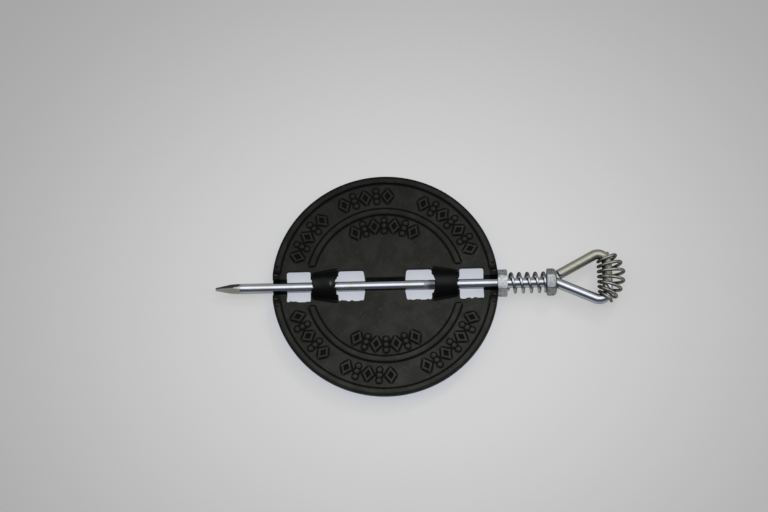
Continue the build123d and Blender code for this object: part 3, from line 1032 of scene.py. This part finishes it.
@dataclass
class SpindleWire:
    """The bent wire: a four-sided point, the shaft, two pressed ears and the handle loop."""

    radius: float = 3.25
    tip_x: float = -109.5
    shaft_x: float = -92.4
    blunt: float = 0.7
    blunt_trim: float = 0.86
    point_power: float = 20.0
    ear_start: float = 24.5
    ear_crest: float = 28.5
    ear_end: float = 32.1
    ear_height: float = 4.5
    ear_half: float = 2.95
    ear_power: float = 2.3
    collar_end: float = 110.2
    bend_inset: float = 0.9
    bar_x: float = 143.1
    lower_angle: float = 24.1
    upper_angle: float = 28.3
    end_inset: float = 1.5
    end_y: float = 4.75
    end_rings: tuple[Pair, ...] = ((0.45, 0.0), (0.18, 0.08), (0.0, 0.35))
    bend_radius: float = 8.0
    corner_radius: float = 5.7
    point_step: float = 0.5
    shaft_step: float = 3.0
    ear_step: float = 0.25
    straight_step: float = 2.0
    bend_step: float = 0.6
    sides: int = 64

    def corners(self) -> list[Vector]:
        """The handle's corner points, from the shaft to the wire's end."""
        bend = self.collar_end - self.bend_inset
        end = self.collar_end + self.end_inset
        low = -(self.bar_x - bend) * math.tan(math.radians(self.lower_angle))
        high = self.end_y + (self.bar_x - end) * math.tan(math.radians(self.upper_angle))
        corners = (bend, 0.0), (self.bar_x, low), (self.bar_x, high), (end, self.end_y)
        return [Vector(corner) for corner in corners]

    def run_on(self, line: list[tuple[Vector, Vector]], end: Vector, way: Vector) -> None:
        """Adds a straight run to a line, up to an end that is left out.

        Args:
            line: pairs of a place and a direction.
            end: where the run ends.
            way: its direction.
        """
        first = line[-1][0]
        count = int((end - first).length / self.straight_step)
        line += [(first.lerp(end, k / count), way) for k in range(1, count)]

    def handle_line(self) -> list[tuple[Vector, Vector]]:
        """Points and directions along the handle, with its corners rounded.

        Returns:
            Pairs of a place and a unit direction, in millimetres, in the handle's plane.
        """
        points = [Vector((self.ear_end + 2.0, 0.0)), *self.corners()]
        line = [(points[0], Vector((1.0, 0.0)))]
        radii = (self.bend_radius, self.corner_radius, self.corner_radius)
        for i, radius in enumerate(radii, start=1):
            before = (points[i] - points[i - 1]).normalized()
            after = (points[i + 1] - points[i]).normalized()
            turn = math.atan2(before.x * after.y - before.y * after.x, before.dot(after))
            start = points[i] - before * (radius * math.tan(abs(turn) / 2))
            side = Vector((-before.y, before.x)) * math.copysign(1.0, turn)
            self.run_on(line, start, before)
            steps = max(6, int(abs(turn) * radius / self.bend_step))
            for k in range(steps + 1):
                turned = Matrix.Rotation(turn * k / steps, 2)
                line.append((start + side * radius - turned @ side * radius, turned @ before))
        self.run_on(line, points[-1], after)
        return line

    def reach(self, x: float, angle: float) -> float:
        """The wire's radius on its straight part.

        Args:
            x: place along the shaft.
            angle: from the handle's plane, in radians.

        Returns:
            The radius in millimetres.
        """
        if x < self.shaft_x:
            share = (x - self.tip_x) / (self.shaft_x - self.tip_x)
            half = self.blunt + (self.radius - self.blunt) * share
            turned = angle - math.pi / 4
            square = half / max(abs(math.cos(turned)), abs(math.sin(turned)))
            return soft_least(square, self.radius, self.point_power)
        if self.ear_start < x < self.ear_end:
            share = min(1.0, (x - self.ear_start) / (self.ear_crest - self.ear_start))
            share = share * share * (3 - 2 * share)
            high = self.radius + (self.ear_height - self.radius) * share
            wide = self.radius + (self.ear_half - self.radius) * min(1.0, share * 3)
            power = 2.0 + (self.ear_power - 2.0) * share
            flat = abs(math.cos(angle)) / wide
            tall = abs(math.sin(angle)) / high
            return (flat**power + tall**power) ** (-1 / power)
        return self.radius

    def stations(self) -> list[float]:
        """Places of the rings along the straight shaft."""
        point = [self.tip_x + 1.0 + i * self.point_step for i in range(32)]
        shaft = [self.shaft_x + 0.01 + i * self.shaft_step for i in range(40)]
        shaft = [x for x in shaft if x < self.ear_start - 1.0]
        steps = 1 + int((self.ear_end - self.ear_start) / self.ear_step)
        ear = [self.ear_start + i * self.ear_step for i in range(steps)]
        behind = [self.ear_end + step for step in (-0.15, -0.02, 0.02, 0.4)]
        return [self.tip_x + 0.01, self.tip_x + 0.4, *point, *shaft, *ear, *behind]

    def ring(self, place: Vector, way: Vector, radii: list[float]) -> list[Vector]:
        """A ring of points across the wire, in metres.

        Args:
            place: its middle in the handle's plane.
            way: the wire's direction there.
            radii: the wire's radius at each angle.

        Returns:
            The points.
        """
        side = Vector((-way.y, way.x))
        ring = []
        for angle, radius in zip(circle(self.sides), radii):
            flat = place + side * (radius * math.cos(angle))
            ring.append(Vector((flat.x, flat.y, radius * math.sin(angle))) * MM)
        return ring

    def build(self, material: Material) -> None:
        """Makes the wire as one skin.

        Args:
            material: its finish.
        """
        rings = []
        for x in self.stations():
            trim = self.blunt_trim if x < self.tip_x + 0.1 else 1.0
            radii = [self.reach(x, angle) * trim for angle in circle(self.sides)]
            rings.append(self.ring(Vector((x, 0.0)), Vector((1.0, 0.0)), radii))
        line = self.handle_line()
        for place, way in line:
            rings.append(self.ring(place, way, [self.radius] * self.sides))
        end, way = self.corners()[-1], line[-1][1]
        for back, shrink in self.end_rings:
            rings.append(self.ring(end - way * back, way, [self.radius - shrink] * self.sides))
        made = mesh_object("spindle_wire", *lofted(rings), material)
        settle(made, Body.SPINDLE, "spindle")


@dataclass
class TurnedHexagon:
    """A hexagonal bar turned down at its faces, with softened edges and a bore."""

    name: str
    node: str
    body: Body
    start: float
    length: float
    bore: float
    across: float = 15.5
    chamfer: float = 0.7
    turn: float = 9.0
    fullness: float = 0.18
    dome: float = 0.0
    edge_steps: tuple[float, ...] = (0.0, 0.08, 0.2, 0.35, 0.5, 0.8)
    edge_power: float = 70.0
    face_inset: float = 0.12
    sides: int = 144

    def turned(self, x: float) -> float:
        """The turned radius at a place along the piece.

        Args:
            x: millimetres from its left face.

        Returns:
            The radius in millimetres.
        """
        corner = self.across / math.sqrt(3)
        left = corner - self.chamfer * max(0.0, 1 - x / (self.chamfer / 2))
        if self.dome:
            over = max(0.0, x - (self.length - self.dome))
            right = corner - self.dome + math.sqrt(max(0.0, self.dome**2 - over**2))
        else:
            right = corner - self.chamfer * max(0.0, 1 - (self.length - x) / (self.chamfer / 2))
        return min(left, right)

    def hexagon(self, angle: float) -> float:
        """The hexagon's radius, its sides slightly full and its upper side turned to the front.

        Args:
            angle: from the handle's plane, in radians.

        Returns:
            The radius in millimetres.
        """
        sixth = math.pi / 3
        away = (angle - math.pi / 2 - math.radians(self.turn) + sixth / 2) % sixth - sixth / 2
        flat = self.across / 2 / math.cos(away)
        return flat + self.fullness * (self.across / math.sqrt(3) - flat)

    def build(self, material: Material) -> None:
        """Makes the piece as one closed skin.

        Args:
            material: its finish.
        """
        angles = circle(self.sides)
        tail = [self.length - x for x in self.edge_steps]
        if self.dome:
            quarter = [math.sin(math.pi / 2 * i / 12) for i in range(13)]
            tail = [self.length - self.dome * (1 - rise) for rise in quarter]
        inner = [self.length * i / 8 for i in range(1, 8)]
        places = sorted({round(x, 4) for x in [*self.edge_steps, *inner, *tail]})
        loops = []
        for x in places:
            limit = self.turned(x)
            radii = [soft_least(self.hexagon(a), limit, self.edge_power) for a in angles]
            loops.append((x, radii))
        bores = [(x, [self.bore] * self.sides) for x in (0.0, self.length)]
        insets = [(x, [r - self.face_inset for r in radii]) for x, radii in (loops[0], loops[-1])]
        rings = []
        for x, radii in [bores[0], insets[0], *loops, insets[1], bores[1], bores[0]]:
            along = self.start + x
            pairs = zip(radii, angles)
            rings.append([Vector((along, r * math.cos(a), r * math.sin(a))) * MM for r, a in pairs])
        made = mesh_object(self.name, *lofted(rings, closed_ends=False), material)
        settle(made, self.body, self.node)


@dataclass
class SpindleSpring:
    """The compression spring, in two halves."""

    start: float = 78.5
    length: float = 25.5
    wire: float = 1.7
    outer: float = 14.0
    turns: float = 5.0
    end_pitch: float = 0.4
    end_turns: float = 0.48
    end_gap: float = 0.05
    lift: float = 8.0
    push: float = 5.0
    start_trim: float = 0.16
    per_turn: int = 72

    def place(self, turn: float) -> Vector:
        """The spring's centreline in metres, right-handed about X.

        Args:
            turn: turns from the seat.

        Returns:
            The point.
        """
        radius = (self.outer - self.wire) / 2
        run = self.length - self.wire - 2 * self.end_gap
        closing = self.end_turns
        pitch = (run - self.end_pitch * closing) / (self.turns - closing)

        def climb(t: float) -> float:
            """How far the centreline climbs in so many turns from an end."""
            opening = t**2 / (2 * closing) if t < closing else t - closing / 2
            return self.end_pitch * t + (pitch - self.end_pitch) * opening

        advance = climb(turn) if turn <= self.turns / 2 else run - climb(self.turns - turn)
        x = self.start + self.wire / 2 + self.end_gap + advance
        angle = 2 * math.pi * turn - math.pi
        return Vector((x, radius * math.cos(angle), radius * math.sin(angle))) * MM

    def build(self, material: Material) -> None:
        """Makes both halves.

        Args:
            material: their finish.
        """
        spans = (
            ("spring_seat_half", self.start_trim, self.turns / 2, "seat_lift", self.lift),
            ("spring_collar_half", self.turns / 2, self.turns, "spindle_push", self.push),
        )
        for name, first, last, joint, travel in spans:
            count = int((last - first) * self.per_turn)
            line = [self.place(first + (last - first) * i / count) for i in range(count + 1)]
            rounded = (first < self.turns / 2, last == self.turns)
            made = swept_wire(name, line, self.wire, material, rounded)
            settle(made, Body.SPRING, "spindle_spring")
            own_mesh(made)


@dataclass
class GripCoil:
    """The wire coil round the handle's bar, fullest in its middle."""

    handle: SpindleWire
    wire: float = 2.1
    clearance: float = 1.3
    turns: float = 6.85
    lead: float = 0.4
    trail: float = 0.45
    overlap: float = 0.65
    end_loop: float = 9.2
    swell: float = 7.2
    bias: float = 0.88
    fan: float = 36.0
    lean: float = 8.0
    per_turn: int = 96

    def place(self, turn: float) -> Vector:
        """The coil's centreline in metres.

        Args:
            turn: turns from the upper corner.

        Returns:
            The point.
        """
        bar = self.handle
        _, low_corner, high_corner, _ = bar.corners()
        insets = []
        for angle in (math.radians(bar.lower_angle), math.radians(bar.upper_angle)):
            arc = bar.corner_radius * (math.tan(angle) + 1 / math.cos(angle))
            insets.append(arc - self.overlap)
        low, high = low_corner.y + insets[0], high_corner.y - insets[1]
        inner_x = bar.bar_x - bar.radius - self.wire / 2 - self.clearance
        share = (turn + self.lead) / self.turns
        swell = self.swell * math.sin(math.pi * max(share, 0.0) ** self.bias)
        radius = (self.end_loop + swell) / 2
        fan = math.radians(self.fan) * (1 - 2 * share)
        out = radius * (1 - math.cos(2 * math.pi * turn))
        inner_y = high - (high - low) * turn / (self.turns - self.lead - self.trail)
        up = radius * math.sin(2 * math.pi * turn)
        y = inner_y + out * math.sin(fan) - up * math.tan(math.radians(self.lean))
        return Vector((inner_x + out * math.cos(fan), y, up)) * MM

    def build(self, material: Material) -> None:
        """Makes the coil.

        Args:
            material: its finish.
        """
        count = int(self.turns * self.per_turn)
        line = [self.place(-self.lead + self.turns * i / count) for i in range(count + 1)]
        made = swept_wire("grip_coil_wire", line, self.wire, material, (True, True))
        settle(made, Body.SPINDLE, "grip_coil")


# Stage
@dataclass(frozen=True)
class Studio:
    """The floor, the lamps, the world and the camera."""

    floor_reach: float = 3.0
    coil_rest: Point = (0.147, 0.0, -0.00925)
    trough_rest: Point = (-0.068, 0.0, -0.00665)
    lamp_height: float = 1.45
    lamp_lean: float = 9.0
    lamp_length: float = 2.4
    lamp_width: float = 1.0
    lamp_energy: float = 6.5
    side_place: Point = (0.70, 1.17, 1.32)
    side_size: float = 0.35
    side_energy: float = 10.0
    side_colour: Colour = (1.0, 0.97, 0.90)
    room: Colour = (0.46, 0.46, 0.47)
    dim_room: Colour = (0.10, 0.11, 0.145)
    dim_lean: Ramp = (-0.70, -0.20, 0.0, 1.0)
    low_room: Colour = (0.36, 0.36, 0.38)
    low_lean: Ramp = (-1.55, -1.25, 1.0, 0.0)
    ceiling: Colour = (1.12, 1.14, 1.18)
    ceiling_lean: Ramp = (0.28, 0.68, 1.0, 0.0)
    ceiling_ends: Colour = (1.90, 1.90, 1.90)
    ceiling_reach: Ramp = (0.55, 0.80, 0.0, 1.0)
    backdrop: Colour = (0.62, 0.62, 0.62)
    eye_distance: float = 1.25
    eye_tilt: float = 15.28
    eye_azimuth: float = 3.73
    eye_roll: float = 1.28
    film_width: float = 36.0
    image_width: float = 768.0
    image_height: float = 512.0
    scale_mm: float = 0.6445
    centre_x: float = 385.20
    centre_y: float = 285.75

    def floor(self) -> None:
        """Lays the floor under the object's two resting places."""
        run = Vector(self.coil_rest) - Vector(self.trough_rest)
        slope = run.z / run.x
        low = self.coil_rest[2] - slope * self.coil_rest[0]
        signs = ((-1, -1), (1, -1), (1, 1), (-1, 1))
        places = [(i * self.floor_reach, j * self.floor_reach) for i, j in signs]
        corners = [Vector((x, y, low + slope * x)) for x, y in places]
        made = mesh_object("floor", corners, [[0, 1, 2, 3]], PaleFloor().build())

    def lamp(self, name: str, place: Vector, size: Pair, energy: float) -> Object:
        """Hangs one area lamp that faces the object.

        Args:
            name: the lamp's name.
            place: where it hangs, in metres.
            size: its length and width in metres.
            energy: its power in watts.

        Returns:
            The lamp's object.
        """
        lamp = bpy.data.lights.new(name, "AREA")
        lamp.shape = "RECTANGLE"
        lamp.size, lamp.size_y = size
        lamp.energy = energy
        made = linked(name, lamp)
        made.location = place
        made.rotation_euler = place.to_track_quat("Z", "Y").to_euler()
        return made

    def lamps(self) -> None:
        """Hangs a wide soft lamp over the object, and a small one behind it for the shadows."""
        lean = math.radians(self.lamp_lean)
        over = Vector((0.0, math.sin(lean), math.cos(lean))) * self.lamp_height
        self.lamp("ceiling_lamp", over, (self.lamp_length, self.lamp_width), self.lamp_energy)
        size = (self.side_size, self.side_size)
        side = self.lamp("side_lamp", Vector(self.side_place), size, self.side_energy)
        side.data.color = self.side_colour
        side.visible_glossy = False

    def world(self) -> None:
        """Lights the room softly, with a dim front and a bright band of ceiling."""
        world = bpy.data.worlds.new("studio")
        world.use_nodes = True
        world.node_tree.nodes.clear()
        graph = Graph(world.node_tree)
        x, y, z = graph.parts(graph.place("Generated"))
        lean = graph.math("ARCTAN2", y, z)
        room = graph.over(self.dim_room, self.room, graph.spread(lean, self.dim_lean))
        room = graph.over(room, self.low_room, graph.spread(lean, self.low_lean))
        ends = graph.spread(graph.math("ABSOLUTE", x), self.ceiling_reach)
        ceiling = graph.over(self.ceiling, self.ceiling_ends, ends)
        overhead = graph.gap(lean, math.radians(self.lamp_lean))
        room = graph.over(room, ceiling, graph.spread(overhead, self.ceiling_lean))
        seen = graph.add("ShaderNodeLightPath").outputs["Is Camera Ray"]
        values = {"Color": graph.over(room, self.backdrop, seen), "Strength": 1.0}
        back = graph.add("ShaderNodeBackground", values)
        graph.add("ShaderNodeOutputWorld", {"Surface": back.outputs[0]})
        bpy.context.scene.world = world

    def camera(self) -> None:
        """Places the camera at the photograph's viewing angle."""
        angles = (self.eye_tilt, self.eye_azimuth, self.eye_roll)
        tilt, azimuth, roll = (math.radians(angle) for angle in angles)
        away = math.sin(tilt)
        back = Vector((math.sin(azimuth) * away, -math.cos(azimuth) * away, math.cos(tilt)))
        level = Vector((1.0, 0.0, 0.0))
        level = (level - back * level.dot(back)).normalized()
        right = level * math.cos(roll) - back.cross(level) * math.sin(roll)
        facing = Matrix((right, back.cross(right), back)).transposed()
        focal = self.eye_distance / (self.scale_mm * MM)
        lens = bpy.data.cameras.new("camera")
        lens.sensor_width = self.film_width
        lens.lens = focal * self.film_width / self.image_width
        lens.shift_x = (self.image_width / 2 - self.centre_x) / self.image_width
        lens.shift_y = (self.centre_y - self.image_height / 2) / self.image_width
        made = linked("camera", lens)
        made.matrix_world = Matrix.Translation(back * self.eye_distance) @ facing.to_4x4()
        bpy.context.scene.camera = made

    def build(self) -> None:
        """Sets the whole stage."""
        self.floor()
        self.lamps()
        self.world()
        self.camera()
        bpy.context.scene.view_settings.view_transform = "Standard"


def main() -> None:
    """Builds every piece in order."""
    logging.basicConfig(level=logging.INFO, format="%(name)s: %(message)s")
    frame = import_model()
    wires = DrawnZinc("drawn_zinc", bright=(0.47, 0.49, 0.53), dull=(0.43, 0.43, 0.41))
    seats = TurnedZinc("dull_zinc", bright=(0.41, 0.43, 0.435), dull=(0.235, 0.245, 0.245))
    collars = TurnedZinc("dark_zinc", bright=(0.33, 0.345, 0.35), dull=(0.19, 0.20, 0.20))
    springs = ZincPlate(
        "sprung_zinc",
        bright=(0.43, 0.45, 0.47),
        dull=(0.26, 0.26, 0.25),
        # Painted shade on the side of the spring's turns towards +Y.
        painted_shade_axis=Axis.ACROSS,
        painted_shade_side=(0.001, 0.0055, 0.0, 0.75),
    )
    coils = ZincPlate(
        "coiled_zinc",
        # The coil's zinc is given darker than the spindle's; the darkness is partly painted shade
        # for the shade among its close turns.
        bright=(0.31, 0.305, 0.28),
        dull=(0.15, 0.14, 0.115),
        # Painted shade on the coil's inner side, next to the bar.
        painted_shade_side=(0.1385, 0.1425, 0.75, 0.0),
    )
    handle = SpindleWire()
    seat = TurnedHexagon(
        "sliding_seat", "spring_seat", Body.SEAT, start=72.5, length=6.0, bore=3.33
    )
    collar = TurnedHexagon(
        "domed_collar", "thrust_collar", Body.SPINDLE, start=104.0, length=6.2, bore=3.2, dome=3.0
    )
    CastPlate().build(frame["nodes"]["damper_plate"], BlackIron().build())
    handle.build(wires.build())
    seat.build(seats.build())
    collar.build(collars.build())
    SpindleSpring().build(springs.build())
    GripCoil(handle).build(coils.build())
    Studio().build()


if __name__ == "__main__":
    main()
